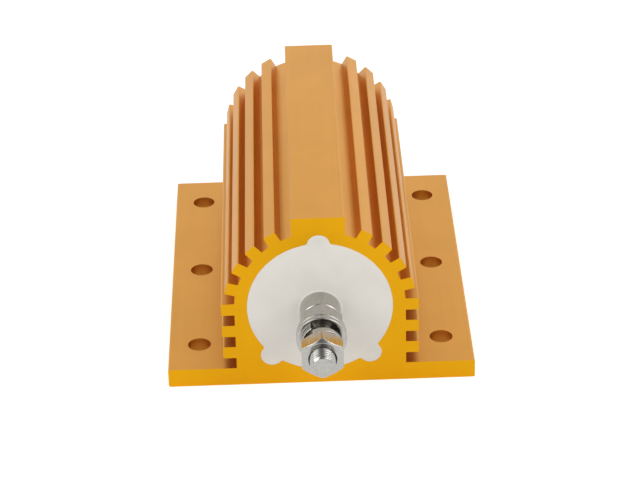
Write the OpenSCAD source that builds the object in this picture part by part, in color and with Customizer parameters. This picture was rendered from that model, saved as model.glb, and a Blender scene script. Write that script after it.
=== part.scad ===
// Aluminium housed power resistor
//
// A wire-wound ceramic core is potted in the bore of a finned aluminium extrusion, which stands on
// a drilled mounting base. A threaded stud leaves each end, with its nuts and washers.
//
// Frame: +Z up, Y along the bore, origin at the middle of the housing's underside.
// The front terminal points along -Y.

/* [Housing] */
// Length of the housing along its bore
housing_length = 127.5; // [110:0.5:160]
// Width of the mounting base
base_width = 100; // [92:1:120]
// Thickness of the mounting base
base_thickness = 6.4; // [5:0.1:8]
// Height of the bore's centre above the underside
bore_height = 28.6; // [28:0.1:32]
// Diameter of the bore that holds the resistance element
bore_diameter = 46.9; // [42:0.1:48]
// Wall between the bore and the bottom of the slots
bore_wall = 4.1; // [3:0.1:5]
// Width of the bar along the top
bar_width = 17.1; // [14:0.1:20]
// Height of the bar's top face above the underside
bar_height = 61.3; // [59:0.1:66]

/* [Fins] */
// Thickness of each fin
fin_thickness = 4.2; // [3:0.1:4.6]
// How far the radial fins stand out of the round part
radial_fin_depth = 3.55; // [2:0.05:6]
// How far the level fins stand out of the side walls
side_fin_depth = 4.25; // [2:0.05:6]
// Number of radial fins on each side of the bar
radial_fins = 4; // [2:1:4]
// Angle from one radial fin to the next
fin_angle = 15; // [13:0.5:16]
// Number of level fins below the bore's centre on each side
side_fins = 2; // [1:1:2]
// Rounding of the extruded corners
corner_radius = 0.5; // [0.2:0.05:0.8]

/* [Keyways in the bore] */
// Radius of each keyway
keyway_radius = 3.7; // [3:0.1:4]
// Rounding where a keyway opens into the bore
keyway_blend = 0.8; // [0.5:0.1:4]
// Distance from the bore's centre to the bottom of the top keyway
top_keyway_reach = 26.5; // [26:0.1:28]
// Distance from the bore's centre to the bottom of the two lower keyways
low_keyway_reach = 27.5; // [26:0.1:28.5]
// Angle of the two lower keyways from straight down
low_keyway_angle = 42; // [38:0.5:46]

/* [Mounting holes] */
// Diameter of the mounting holes
hole_diameter = 7.6; // [5:0.1:9]
// Distance between the two rows of holes
hole_row_spacing = 80; // [78:1:84]
// Distance between the holes of a row
hole_pitch = 48.6; // [40:0.1:50]

/* [Resistance element] */
// Diameter of the ceramic core
core_diameter = 32; // [26:0.5:34]
// Diameter of the hole through the core
core_hole = 14; // [8:0.5:18]
// Depth of the filling over the end caps
filling_depth = 17.5; // [12:0.5:24]
// Height to which the filling swells up round the studs' shoulders
filling_swell = 1.4; // [0.4:0.1:2.4]
// Chamfer on the core's ends
core_chamfer = 0.8; // [0.4:0.1:1]
// Diameter of the resistance wire
wire_diameter = 1.2; // [0.8:0.1:1.4]
// Distance from one turn of wire to the next
wire_pitch = 3; // [2.8:0.1:5]
// Wall of the end caps
cap_wall = 1.2; // [0.8:0.1:1.6]
// Length of the caps' skirts over the core
cap_skirt = 9; // [7:0.5:12]
// Rounding of the caps' outer edge
cap_round = 2; // [1:0.1:3]
// Diameter of the stud's tenon in the cap
tenon_diameter = 6; // [4:0.1:7]

/* [Terminals] */
// Thread diameter of the studs
thread_diameter = 8; // [7:0.1:8.4]
// Length of stud beyond the last nut
thread_end = 4.8; // [3:0.1:12]
// Chamfer on the end of the thread
thread_chamfer = 0.6; // [0.3:0.1:1]
// Diameter of the shoulder that the nuts are set against
shoulder_diameter = 13.3; // [11:0.1:15]
// Length of the shoulder
shoulder_length = 9.2; // [5:0.1:12]
// Chamfer on the shoulder's outer edge
shoulder_chamfer = 0.5; // [0.2:0.1:1]
// Width of the nuts across their flats
nut_width = 13; // [12.5:0.1:15]
// Diameter of the nuts' round faces, inside their chamfers
nut_face = 11.9; // [11:0.1:12.4]
// Height of the nuts
nut_height = 6.5; // [5:0.1:8]
// Angle by which the seat nut stands turned from the terminal nut
seat_nut_turn = 5; // [0:1:30]
// Diameter of the flat washers
washer_diameter = 16; // [15:0.1:20]
// Diameter of the flat washers' hole
washer_hole = 8.6; // [8.5:0.1:9]
// Thickness of the flat washers
washer_thickness = 2; // [1:0.1:2.5]
// Outside diameter of the spring washers
spring_diameter = 12.8; // [12:0.1:14]
// Width of the spring washers' section
spring_section = 2; // [1.2:0.1:2.1]
// Thickness of the spring washers' section
spring_thickness = 2; // [1:0.1:2.2]
// Height of the spring washers as they stand
spring_height = 5; // [3:0.1:6]
// Angle of the spring washers' split from the top
spring_split_angle = 29; // [0:1:90]
// Opening of the spring washers' split
spring_split = 0.5; // [0.3:0.1:1.5]

/* [Hidden] */

// $fn of the true round surfaces
round_fn = 96;
// Overlap that a cut needs to pass cleanly through a face
cut = 1;

// Housing
bore_radius = bore_diameter / 2;
root_radius = bore_radius + bore_wall;
hole_rows = [-hole_row_spacing / 2, hole_row_spacing / 2];
hole_places = [-hole_pitch, 0, hole_pitch];
// The level fins share the height between the base and the fin at the bore's centre
side_slot = (bore_height - base_thickness - fin_thickness * (side_fins + 1 / 2)) / (side_fins + 1);
// How far a keyway's blend crosses the circles that it joins
blend_crossing = 0.002;
// Each keyway's angle from straight up, and the distance of its centre from the bore's centre
keyways = [[0, top_keyway_reach - keyway_radius],
           [180 - low_keyway_angle, low_keyway_reach - keyway_radius],
           [low_keyway_angle - 180, low_keyway_reach - keyway_radius]];

// Filling: its swell is a cap of a large ball, and ends this far inside the bore's wall
swell_margin = 0.5;
swell_reach = bore_radius - swell_margin;
swell_ball = (swell_reach ^ 2 + filling_swell ^ 2) / (2 * filling_swell);

// Resistance element
core_length = housing_length - 2 * (filling_depth + cap_wall);
core_radius = core_diameter / 2;
wire_radius = wire_diameter / 2;
// Clearance of the wire, and of the caps' skirts, from the core
element_clearance = 0.05;
cap_inner_radius = core_radius + element_clearance;
cap_outer_radius = cap_inner_radius + cap_wall;
cap_face = core_length / 2 + cap_wall;
skirt_edge = core_length / 2 - cap_skirt;
// Sides of the wire, and stations along one turn of it
wire_sides = 6;
turn_stations = 18;
// A chord between two stations cuts inside its circle, so the wire is laid out by this much more
chord_growth = 1 / cos(180 / turn_stations);
wound_radius = (core_radius + wire_radius + element_clearance) * chord_growth;
tail_radius = (cap_outer_radius + wire_radius + element_clearance) * chord_growth;
// The wire climbs on to a skirt between these two places, and ends on top of the skirt
climb_start = skirt_edge - 3 * wire_diameter;
climb_end = skirt_edge - wire_diameter;
wire_end = skirt_edge + cap_skirt / 3;
// The filling is cast round the wound core with this clearance
element_radius = tail_radius + wire_radius + element_clearance;

// Terminals: distances outwards from the housing's end face
seat_nut_place = shoulder_length;
inner_washer_place = seat_nut_place + nut_height;
outer_washer_place = inner_washer_place + washer_thickness;
spring_washer_place = outer_washer_place + washer_thickness;
terminal_nut_place = spring_washer_place + spring_height;
stud_end = terminal_nut_place + nut_height + thread_end;
stud_root = housing_length / 2 - cap_face;
thread_radius = thread_diameter / 2;
nut_corner_radius = nut_width / 2 / cos(30);
// Chamfers of the nuts' corners and threads, and of the washers' rims
nut_chamfer_angle = 30;
nut_thread_chamfer = 0.5;
washer_chamfer = 0.3;
spring_stations = 48;

// ---- Profiles ----

// A bar from the origin along +X to reach, with its two outer corners rounded
module rounded_fin(reach, thickness) {
    translate([0, -thickness / 2]) square([reach - corner_radius, thickness]);
    translate([0, corner_radius - thickness / 2]) square([reach, thickness - 2 * corner_radius]);
    for (side = [-1, 1])
        translate([reach - corner_radius, side * (thickness / 2 - corner_radius)])
            circle(corner_radius, $fn = 24);
}

// One keyway and the rounded mouth by which it opens into the bore. The two blends are circles
// that lie against the keyway and the bore from outside, and the kite joins all four centres.
// Each blend crosses its neighbours by a hair, so that they meet at one clear corner.
module keyway(angle, centre) {
    to_keyway = keyway_radius + keyway_blend;
    to_bore = bore_radius + keyway_blend;
    blend_y = (to_bore ^ 2 - to_keyway ^ 2 + centre ^ 2) / (2 * centre);
    blend_x = sqrt(to_bore ^ 2 - blend_y ^ 2);
    rotate(-angle) {
        translate([0, centre]) circle(keyway_radius, $fn = round_fn);
        difference() {
            polygon([[0, 0], [blend_x, blend_y], [0, centre], [-blend_x, blend_y]]);
            for (side = [-1, 1])
                translate([side * blend_x, blend_y])
                    circle(keyway_blend + blend_crossing, $fn = round_fn);
        }
    }
}

// The bore with its keyways, centred on the bore's axis
module bore_profile() {
    circle(bore_radius, $fn = round_fn);
    for (k = keyways) keyway(k[0], k[1]);
}

// The extrusion's whole section, with the underside at 0
module housing_profile() {
    difference() {
        union() {
            for (side = [0, 1])
                mirror([side, 0])
                    translate([0, base_thickness / 2]) rounded_fin(base_width / 2, base_thickness);
            translate([-root_radius, 0]) square([2 * root_radius, bore_height]);
            translate([0, bore_height]) circle(root_radius, $fn = round_fn);
            translate([0, bore_height])
                rotate(90) rounded_fin(bar_height - bore_height, bar_width);
            for (side = [0, 1])
                mirror([side, 0])
                    translate([0, bore_height]) {
                        for (i = [0 : side_fins])
                            translate([0, -i * (side_slot + fin_thickness)])
                                rounded_fin(root_radius + side_fin_depth, fin_thickness);
                        for (i = [1 : radial_fins])
                            rotate(i * fin_angle)
                                rounded_fin(root_radius + radial_fin_depth, fin_thickness);
                    }
        }
        translate([0, bore_height]) bore_profile();
    }
}

// ---- Placing ----

// Extrudes a section drawn in X and Z along the whole housing
module along_housing() {
    rotate([90, 0, 0]) linear_extrude(housing_length, center = true) children();
}

// Stands a piece drawn along +Z on the bore's axis, pointing along -Y, at distance from the middle
module on_axis(distance = 0) {
    translate([0, -distance, bore_height]) rotate([90, 0, 0]) children();
}

// Places a piece drawn along +Z outwards from an end face: end is 0 at the front, 1 at the rear
module at_terminal(end, place = 0) {
    rotate([0, 0, 180 * end]) on_axis(housing_length / 2 + place) children();
}

// ---- Housing and filling ----

module housing() {
    color("#DD9A33")
        difference() {
            along_housing() housing_profile();
            for (x = hole_rows, y = hole_places)
                translate([x, y, -cut])
                    cylinder(d = hole_diameter, h = base_thickness + 2 * cut, $fn = round_fn);
        }
}

// The cement's low swell on an end face, round the stud's shoulder
module swell() {
    rotate_extrude($fn = round_fn)
        intersection() {
            translate([0, filling_swell - swell_ball]) circle(swell_ball, $fn = 4 * round_fn);
            translate([shoulder_diameter / 2, -cut])
                square([swell_reach - shoulder_diameter / 2, filling_swell + cut]);
        }
}

// The white cement that seals the wound core into the bore and holds the two studs
module filling_compound() {
    color("#DAD6CE")
        difference() {
            union() {
                along_housing() translate([0, bore_height]) bore_profile();
                for (end = [0, 1]) at_terminal(end) swell();
            }
            on_axis(-cap_face) cylinder(r = element_radius, h = 2 * cap_face, $fn = round_fn);
            on_axis(-housing_length / 2 - cut)
                cylinder(r = thread_radius, h = housing_length + 2 * cut, $fn = round_fn);
        }
}

// ---- Resistance element ----

module ceramic_core() {
    half = core_length / 2;
    color("#E6E0D2")
        on_axis()
            rotate_extrude($fn = round_fn)
                polygon([[core_hole / 2, -half], [core_radius - core_chamfer, -half],
                         [core_radius, core_chamfer - half], [core_radius, half - core_chamfer],
                         [core_radius - core_chamfer, half], [core_hole / 2, half]]);
}

// Distance of the wire's centre from the axis, at distance y from the core's middle
function wire_lay(y) =
    let (climb = (abs(y) - climb_start) / (climb_end - climb_start))
    wound_radius + (tail_radius - wound_radius) * min(1, max(0, climb));

// One ring of points round the wire, at angle a along the winding and distance y along it
function wire_ring(a, y) =
    [for (s = [0 : wire_sides - 1])
        let (b = -360 * s / wire_sides,
             r = wire_lay(y) + wire_radius * cos(b))
        [r * cos(a), r * sin(a), y + wire_radius * sin(b)]];

// Side faces of a tube of rings, and its two ends
function tube_faces(rings, sides) = concat(
    [[for (s = [0 : sides - 1]) s]],
    [[for (s = [sides - 1 : -1 : 0]) (rings - 1) * sides + s]],
    [for (i = [0 : rings - 2], s = [0 : sides - 1], half = [0, 1])
        let (a = i * sides + s, b = i * sides + (s + 1) % sides)
        half == 0 ? [a, a + sides, b] : [b, a + sides, b + sides]]);

module resistance_winding() {
    stations = floor(2 * wire_end / wire_pitch * turn_stations);
    points = [for (i = [0 : stations])
                 let (y = -wire_end + 2 * wire_end * i / stations)
                 each wire_ring(360 * i / turn_stations, y)];
    color("#8D8A84")
        on_axis() polyhedron(points, tube_faces(stations + 1, wire_sides));
}

// A drawn metal cup pressed on to the end of the core, with a hole for the stud's tenon
module end_cap() {
    color("#B9B8B4")
        rotate_extrude($fn = round_fn)
            difference() {
                union() {
                    square([cap_outer_radius - cap_round, cap_skirt + cap_wall]);
                    square([cap_outer_radius, cap_skirt + cap_wall - cap_round]);
                    translate([cap_outer_radius - cap_round, cap_skirt + cap_wall - cap_round])
                        circle(cap_round, $fn = round_fn);
                }
                translate([-cut, -cut]) square([cap_inner_radius + cut, cap_skirt + cut]);
                translate([-cut, -cut])
                    square([tenon_diameter / 2 + cut, cap_skirt + cap_wall + 2 * cut]);
            }
}

module front_end_cap() { on_axis(skirt_edge) end_cap(); }
module rear_end_cap() { rotate([0, 0, 180]) on_axis(skirt_edge) end_cap(); }

// ---- Terminals: each piece is drawn along +Z from its inner face ----

// The stud is turned in one piece: tenon, shank in the filling, shoulder and threaded end
module terminal_stud() {
    color("#C4C3BE")
        rotate_extrude($fn = round_fn)
            polygon([[0, -stud_root - cap_wall], [tenon_diameter / 2, -stud_root - cap_wall],
                     [tenon_diameter / 2, -stud_root], [thread_radius, -stud_root],
                     [thread_radius, 0], [shoulder_diameter / 2, 0],
                     [shoulder_diameter / 2, shoulder_length - shoulder_chamfer],
                     [shoulder_diameter / 2 - shoulder_chamfer, shoulder_length],
                     [thread_radius, shoulder_length], [thread_radius, stud_end - thread_chamfer],
                     [thread_radius - thread_chamfer, stud_end], [0, stud_end]]);
}

// A hexagon nut: its corners are turned off to a cone at both faces, and its thread is chamfered
module hexagon_nut(turn) {
    face_radius = nut_face / 2;
    drop = (nut_corner_radius - face_radius) * tan(nut_chamfer_angle);
    mouth_radius = thread_radius + nut_thread_chamfer;
    color("#C9C8C4")
        difference() {
            rotate(turn) cylinder(r = nut_corner_radius, h = nut_height, $fn = 6);
            rotate_extrude($fn = round_fn)
                polygon([[face_radius, -cut], [nut_corner_radius + cut, -cut],
                         [nut_corner_radius + cut, drop + cut * tan(nut_chamfer_angle)],
                         [face_radius, 0]]);
            rotate_extrude($fn = round_fn)
                polygon([[face_radius, nut_height], [nut_corner_radius + cut,
                          nut_height - drop - cut * tan(nut_chamfer_angle)],
                         [nut_corner_radius + cut, nut_height + cut],
                         [face_radius, nut_height + cut]]);
            rotate_extrude($fn = round_fn)
                polygon([[0, -cut], [mouth_radius, -cut], [mouth_radius, 0],
                         [thread_radius, nut_thread_chamfer],
                         [thread_radius, nut_height - nut_thread_chamfer],
                         [mouth_radius, nut_height], [mouth_radius, nut_height + cut],
                         [0, nut_height + cut]]);
        }
}

// A turned flat washer with chamfered rims
module flat_washer() {
    rim = washer_diameter / 2;
    color("#C0C0BC")
        rotate_extrude($fn = round_fn)
            polygon([[washer_hole / 2, 0], [rim - washer_chamfer, 0], [rim, washer_chamfer],
                     [rim, washer_thickness - washer_chamfer],
                     [rim - washer_chamfer, washer_thickness], [washer_hole / 2, washer_thickness]]);
}

// The four corners of the spring washer's section at angle a round the stud, raised by lift
function spring_ring(a, lift) =
    let (outer = spring_diameter / 2, inner = outer - spring_section)
    [for (c = [[inner, 0], [outer, 0], [outer, spring_thickness], [inner, spring_thickness]])
        [c[0] * sin(a), c[0] * cos(a), lift + c[1]]];

// A split spring washer as it stands before it is drawn flat: one turn that rises along the stud
module spring_washer() {
    half_gap = asin(spring_split / spring_diameter);
    sweep = 360 - 2 * half_gap;
    points = [for (i = [0 : spring_stations])
                 let (f = i / spring_stations)
                 each spring_ring(half_gap - spring_split_angle + sweep * f,
                                  (spring_height - spring_thickness) * (1 - f))];
    color("#A9A8A4") polyhedron(points, tube_faces(spring_stations + 1, 4));
}

module front_terminal_stud() { at_terminal(0) terminal_stud(); }
module rear_terminal_stud() { at_terminal(1) terminal_stud(); }
module front_seat_nut() { at_terminal(0, seat_nut_place) hexagon_nut(30 - seat_nut_turn); }
module rear_seat_nut() { at_terminal(1, seat_nut_place) hexagon_nut(30 - seat_nut_turn); }
module front_inner_washer() { at_terminal(0, inner_washer_place) flat_washer(); }
module rear_inner_washer() { at_terminal(1, inner_washer_place) flat_washer(); }
module front_outer_washer() { at_terminal(0, outer_washer_place) flat_washer(); }
module rear_outer_washer() { at_terminal(1, outer_washer_place) flat_washer(); }
module front_spring_washer() { at_terminal(0, spring_washer_place) spring_washer(); }
module rear_spring_washer() { at_terminal(1, spring_washer_place) spring_washer(); }
module front_terminal_nut() { at_terminal(0, terminal_nut_place) hexagon_nut(30); }
module rear_terminal_nut() { at_terminal(1, terminal_nut_place) hexagon_nut(30); }

housing();
filling_compound();
ceramic_core();
resistance_winding();
front_end_cap();
rear_end_cap();
front_terminal_stud();
rear_terminal_stud();
front_seat_nut();
rear_seat_nut();
front_inner_washer();
rear_inner_washer();
front_outer_washer();
rear_outer_washer();
front_spring_washer();
rear_spring_washer();
front_terminal_nut();
rear_terminal_nut();
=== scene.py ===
"""Dresses the CAD model of a finned, aluminium housed power resistor, and sets its studio.

Everything is in metres, in the frame of the CAD model: +Z up, Y along the bore, the front
terminal towards -Y, and the origin under the middle of the housing.
"""

import math

import bmesh
import bpy
from mathutils import Matrix, Vector, noise


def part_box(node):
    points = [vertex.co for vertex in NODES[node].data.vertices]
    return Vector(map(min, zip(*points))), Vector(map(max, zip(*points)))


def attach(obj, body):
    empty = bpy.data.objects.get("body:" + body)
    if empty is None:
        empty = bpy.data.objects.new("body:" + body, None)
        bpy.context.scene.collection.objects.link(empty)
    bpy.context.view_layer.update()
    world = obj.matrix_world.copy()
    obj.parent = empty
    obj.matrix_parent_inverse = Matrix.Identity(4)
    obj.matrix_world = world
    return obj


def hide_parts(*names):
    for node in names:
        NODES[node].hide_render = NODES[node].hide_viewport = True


bl_info = {
    "name": "Housed Power Resistor",
    "version": (1, 0, 0),
    "blender": (4, 5, 0),
    "location": "3D View > Sidebar > Resistor",
    "description": "Dresses the CAD model of a housed power resistor and sets its studio",
    "category": "Object",
}

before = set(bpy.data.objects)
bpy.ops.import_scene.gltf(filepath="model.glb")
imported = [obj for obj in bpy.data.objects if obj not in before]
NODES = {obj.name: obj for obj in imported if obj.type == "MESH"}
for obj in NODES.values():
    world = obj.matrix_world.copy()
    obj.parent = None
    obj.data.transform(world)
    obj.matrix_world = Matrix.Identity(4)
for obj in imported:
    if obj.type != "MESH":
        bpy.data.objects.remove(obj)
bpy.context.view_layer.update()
MM = 0.001
ENDS = ("front", "rear")
PLATED = "nickel_plated_steel"
ROWS_PER_TURN = 12  # of a thread
WELD = 0.002 * MM  # Points this close are one

# Places that the CAD model gives
HOUSING_LOW, HOUSING_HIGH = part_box("housing")
END_FACE = HOUSING_HIGH.y
STUD_LOW, STUD_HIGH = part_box("front_terminal_stud")
AXIS_HEIGHT = (STUD_LOW.z + STUD_HIGH.z) / 2
STUD_END = -STUD_LOW.y - END_FACE


def linear(hex_colour):
    """An sRGB hex colour as linear red, green and blue."""
    channels = [int(hex_colour[i : i + 2], 16) / 255 for i in (1, 3, 5)]
    return [c / 12.92 if c <= 0.04045 else ((c + 0.055) / 1.055) ** 2.4 for c in channels]


def add(tree, kind, inputs=None, **settings):
    """Adds a node, sets its settings, and sets or links its inputs by name or number."""
    node = tree.nodes.new(kind)
    for name, value in settings.items():
        setattr(node, name, value)
    for key, value in (inputs or {}).items():
        if isinstance(value, bpy.types.NodeSocket):
            tree.links.new(value, node.inputs[key])
        else:
            node.inputs[key].default_value = value
    return node


# ---- Settings ----


def length(name, description, millimetres):
    """A length setting, stored in metres."""
    return bpy.props.FloatProperty(
        name=name, description=description, default=millimetres * MM, min=0, unit="LENGTH", precision=5
    )


def colour(name, description, hex_colour):
    """A colour setting, stored as linear red, green and blue."""
    return bpy.props.FloatVectorProperty(
        name=name, description=description, default=linear(hex_colour), size=3, min=0, max=1, subtype="COLOR"
    )


class ResistorSizes(bpy.types.PropertyGroup):
    """Sizes of the detail that the CAD model leaves plain."""

    thread_diameter: length("Thread diameter", "Outside diameter of the studs' thread", 8)
    tenon_diameter: length("Tenon diameter", "Diameter of the studs' inner end, in the end caps", 6)
    thread_pitch: length("Thread pitch", "Distance from one turn of the thread to the next", 1.25)
    thread_depth: length("Thread depth", "Depth of the thread from crest to root", 0.68)
    thread_gap: length("Thread gap", "Play between the thread of a stud and the thread of its nuts", 0.04)
    shoulder_rounding: length("Shoulder rounding", "Rounding of the shoulder's outer edge", 0.5)
    stud_chamfer: length("Stud chamfer", "Chamfer on the outer end of each stud", 0.7)
    nut_face: length("Nut face inset", "How far the nuts' round faces lie inside their flats", 0.55)
    nut_rounding: length("Nut rounding", "Rounding of the nuts' edges", 0.3)
    nut_corner: length("Nut corner rounding", "How much of the nuts' six corners is rolled off", 0.08)
    nut_mouth: length("Nut mouth", "Chamfer at both ends of the nuts' thread", 0.5)
    washer_hole: length("Washer hole", "Diameter of the flat washers' hole", 8.6)
    washer_rounding: length("Washer rounding", "Rounding of the flat washers' rims", 0.3)
    spring_section: length("Spring section", "Width and thickness of the spring washers' section", 2)
    spring_rounding: length("Spring rounding", "Rounding of the spring washers' section", 0.25)
    spring_split: length("Spring split", "Opening of the spring washers' split", 0.5)
    spring_angle: bpy.props.FloatProperty(
        name="Spring split angle", description="Angle of the spring washers' split from the top",
        default=math.radians(29), subtype="ANGLE",
    )
    seat_nut_turn: bpy.props.FloatProperty(
        name="Seat nut turn", description="Angle by which the seat nuts stand turned from the terminal nuts",
        default=math.radians(5), subtype="ANGLE",
    )
    filling_rise: length("Filling rise", "How far the filling stands out of the end faces at its rim", 0.1)
    filling_rounding: length("Filling rounding", "Rounding of the filling's rim", 0.2)
    filling_unevenness: length("Filling unevenness", "Height of the waves in the filling's face", 0.12)
    filling_meniscus: length("Filling meniscus", "How far the filling climbs up the studs' shoulders", 0.3)
    wire_pitch: length("Wire pitch", "Distance from one turn of the resistance wire to the next", 3)
    wire_diameter: length("Wire diameter", "Diameter of the resistance wire", 1.2)


class ResistorFinishes(bpy.types.PropertyGroup):
    """Colours of the finishes."""

    anodised: colour("Anodised skin", "Dyed oxide on the extruded skin", "#DF9E3B")
    sawn: colour("Sawn end", "Dyed oxide on the sawn end faces", "#E4A608")
    cement: colour("Cement", "Filling in the bore", "#E6E2DA")
    nickel: colour("Nickel plate", "Plated studs, nuts and washers", "#BDBBB6")
    steatite: colour("Steatite", "Ceramic core", "#E6E0D2")
    wire: colour("Resistance wire", "Oxidised winding", "#8D8A84")
    steel: colour("Plain steel", "Drawn end caps", "#B9B8B4")


class ResistorStudio(bpy.types.PropertyGroup):
    """Camera and light."""

    azimuth: bpy.props.FloatProperty(
        name="Azimuth", description="Camera's turn round the part", default=math.radians(-0.80026), subtype="ANGLE"
    )
    elevation: bpy.props.FloatProperty(
        name="Elevation", description="Camera's height angle", default=math.radians(29.85461), subtype="ANGLE"
    )
    roll: bpy.props.FloatProperty(
        name="Roll", description="Camera's turn round its own line of sight", default=math.radians(-1.53524), subtype="ANGLE"
    )
    distance: bpy.props.FloatProperty(
        name="Distance", description="Camera's distance from its target", default=0.85244, unit="LENGTH"
    )
    target: bpy.props.FloatVectorProperty(
        name="Target", description="Point that the camera looks at", default=(0.001895, 0.03116, -0.001111),
        size=3, subtype="TRANSLATION", unit="LENGTH",
    )
    lens: bpy.props.FloatProperty(name="Lens", description="Focal length in millimetres", default=132.46)
    dome: bpy.props.FloatProperty(name="Dome", description="Strength of the soft light all round", default=0.6)
    lamps: bpy.props.FloatProperty(name="Lamps", description="Power of each soft box in watts", default=4.2)
    box_size: bpy.props.FloatProperty(
        name="Soft box size", description="Width and height of each soft box", default=0.7, unit="LENGTH"
    )
    box_place: bpy.props.FloatVectorProperty(
        name="Soft box place", description="Middle of the right soft box; the left one mirrors it",
        default=(0.85, -0.75, 0.75), size=3, subtype="TRANSLATION", unit="LENGTH",
    )
    floor_reach: bpy.props.FloatProperty(
        name="Floor reach", description="Distance from the middle of the floor to its edges", default=4, unit="LENGTH"
    )


# ---- Finishes ----


def new_finish(name):
    """A new material, its tree, its shader, and the place on the piece that its patterns follow."""
    material = bpy.data.materials.new(name)
    material.use_nodes = True
    tree = material.node_tree
    return material, tree, tree.nodes["Principled BSDF"], add(tree, "ShaderNodeTexCoord").outputs["Object"]


def anodised_aluminium(finishes):
    """Extruded, etched and gold anodised aluminium: satin, with faint die lines along its length.

    The clear oxide over the dye adds a pale sheen, and the sawn ends are stronger in colour.
    """
    material, tree, shader, place = new_finish("anodised_aluminium_extruded")
    along = add(tree, "ShaderNodeSeparateXYZ", {0: place}).outputs["Y"]
    distance = add(tree, "ShaderNodeMath", {0: along}, operation="ABSOLUTE").outputs[0]
    is_end = add(
        tree, "ShaderNodeMath", {0: distance, 1: END_FACE - 0.02 * MM}, operation="GREATER_THAN"
    ).outputs[0]
    # Die lines are 0.4 mm apart and run on for 60 mm
    die_place = add(tree, "ShaderNodeMapping", {0: place, 3: (1 / 0.4, 1 / 60, 1 / 0.4)}).outputs[0]
    die_lines = add(tree, "ShaderNodeTexNoise", {"Vector": die_place, "Scale": 1 / MM, "Detail": 3}).outputs["Fac"]
    # Saw marks are 0.35 mm apart and run across the end for 25 mm
    saw_place = add(tree, "ShaderNodeMapping", {0: place, 3: (1 / 25, 1, 1 / 0.35)}).outputs[0]
    saw_marks = add(tree, "ShaderNodeTexNoise", {"Vector": saw_place, "Scale": 1 / MM, "Detail": 2}).outputs["Fac"]
    marks = add(
        tree, "ShaderNodeMix", {"Factor": is_end, 2: die_lines, 3: saw_marks}, data_type="FLOAT"
    ).outputs[0]
    # The dye takes a little unevenly, over 20 mm or so
    dye = add(tree, "ShaderNodeTexNoise", {"Vector": place, "Scale": 1 / (20 * MM), "Detail": 2}).outputs["Fac"]
    base = add(
        tree,
        "ShaderNodeMix",
        {"Factor": is_end, 6: (*finishes.anodised, 1), 7: (*finishes.sawn, 1)},
        data_type="RGBA",
    ).outputs[2]
    shade = add(tree, "ShaderNodeMapRange", {0: dye, 1: 0.3, 2: 0.7, 3: 0.96, 4: 1.03}).outputs[0]
    streak = add(tree, "ShaderNodeMapRange", {0: marks, 1: 0.3, 2: 0.7, 3: 0.985, 4: 1.01}).outputs[0]
    value = add(tree, "ShaderNodeMath", {0: shade, 1: streak}, operation="MULTIPLY").outputs[0]
    tinted = add(tree, "ShaderNodeHueSaturation", {"Value": value, "Color": base}).outputs[0]
    tree.links.new(tinted, shader.inputs["Base Color"])
    roughness = add(tree, "ShaderNodeMapRange", {0: marks, 1: 0.3, 2: 0.7, 3: 0.36, 4: 0.44}).outputs[0]
    tree.links.new(roughness, shader.inputs["Roughness"])
    bump = add(tree, "ShaderNodeBump", {"Strength": 0.25, "Distance": 0.01 * MM, "Height": marks}).outputs[0]
    tree.links.new(bump, shader.inputs["Normal"])
    shader.inputs["Metallic"].default_value = 1
    # The oxide is thinner on the sawn ends
    oxide = add(tree, "ShaderNodeMapRange", {0: is_end, 3: 0.26, 4: 0.12}).outputs[0]
    tree.links.new(oxide, shader.inputs["Coat Weight"])
    shader.inputs["Coat Roughness"].default_value = 0.3
    return material


def cement(finishes):
    """White silicone cement, poured and levelled by hand: matt, chalky, with pinholes and faint grey."""
    material, tree, shader, place = new_finish("white_cement_poured")
    # Faint clouds 6 mm across, a grain of 0.3 mm, and pinholes 0.3 mm wide and about 2 mm apart
    clouds = add(tree, "ShaderNodeTexNoise", {"Vector": place, "Scale": 1 / (6 * MM), "Detail": 3}).outputs["Fac"]
    grain = add(tree, "ShaderNodeTexNoise", {"Vector": place, "Scale": 1 / (0.3 * MM), "Detail": 2}).outputs["Fac"]
    cells = add(tree, "ShaderNodeTexVoronoi", {"Vector": place, "Scale": 1 / (2 * MM), "Randomness": 1}).outputs[0]
    pinholes = add(tree, "ShaderNodeMapRange", {0: cells, 1: 0.05, 2: 0.1, 3: 0, 4: 1}).outputs[0]
    value = add(tree, "ShaderNodeMapRange", {0: clouds, 1: 0.3, 2: 0.7, 3: 0.965, 4: 1.01}).outputs[0]
    tinted = add(
        tree, "ShaderNodeHueSaturation", {"Value": value, "Color": (*finishes.cement, 1)}
    ).outputs[0]
    tree.links.new(tinted, shader.inputs["Base Color"])
    height = add(tree, "ShaderNodeMath", {0: grain, 1: pinholes}, operation="ADD").outputs[0]
    bump = add(tree, "ShaderNodeBump", {"Strength": 0.3, "Distance": 0.03 * MM, "Height": height}).outputs[0]
    tree.links.new(bump, shader.inputs["Normal"])
    shader.inputs["Roughness"].default_value = 0.55
    return material


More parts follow.
